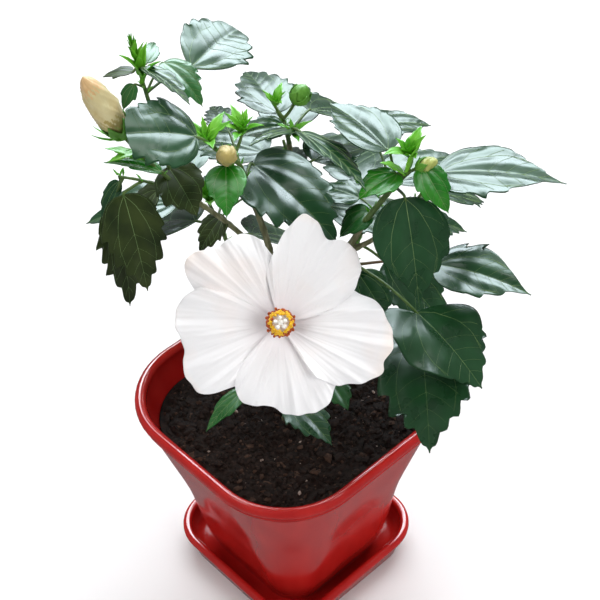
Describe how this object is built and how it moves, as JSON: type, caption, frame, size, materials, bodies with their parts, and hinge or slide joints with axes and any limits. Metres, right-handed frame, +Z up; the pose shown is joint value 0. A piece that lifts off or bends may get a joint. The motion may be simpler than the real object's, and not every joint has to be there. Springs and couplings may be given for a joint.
{
  "type": "potted hibiscus shrub",
  "caption": "Small hibiscus shrub with glossy toothed leaves, buds and a large white open flower, in a round-cornered square plastic pot on its saucer.",
  "frame": {"origin": "centre of the saucer's flat underside", "axes": "+Z up along the trunk; -Y to the front, where the open flower and one corner of the pot face; +X to the right seen from the front"},
  "size_m": [0.2816, 0.2372, 0.4081],
  "materials": {
    "red_plastic": "glossy terracotta red moulded plastic",
    "potting_soil": "dark brown crumbly potting soil",
    "bark": "grey-brown bark with pale specks, greener towards the tips",
    "leaf": "glossy dark green leaf with pale veins, bright green when young",
    "petal": "soft white petal with fine folds"
  },
  "bodies": {
    "root": {"saucer": "red_plastic", "pot": "red_plastic", "soil": "potting_soil", "trunk": "bark", "middle_bough": "bark", "right_bough": "bark", "back_bough": "bark", "left_bough": "bark", "right_outer_bough": "bark", "rear_left_bough": "bark", "rear_right_bough": "bark", "left_upper_foliage": "leaf", "left_bud_spray": "leaf", "left_hanging_foliage": "leaf", "middle_foliage": "leaf", "back_foliage": "leaf", "right_foliage": "leaf", "right_outer_foliage": "leaf", "right_lower_foliage": "leaf", "low_foliage": "leaf", "rear_foliage": "leaf", "rear_left_foliage": "leaf", "rear_right_foliage": "leaf", "open_flower": "petal"}
  },
  "joints": []
}
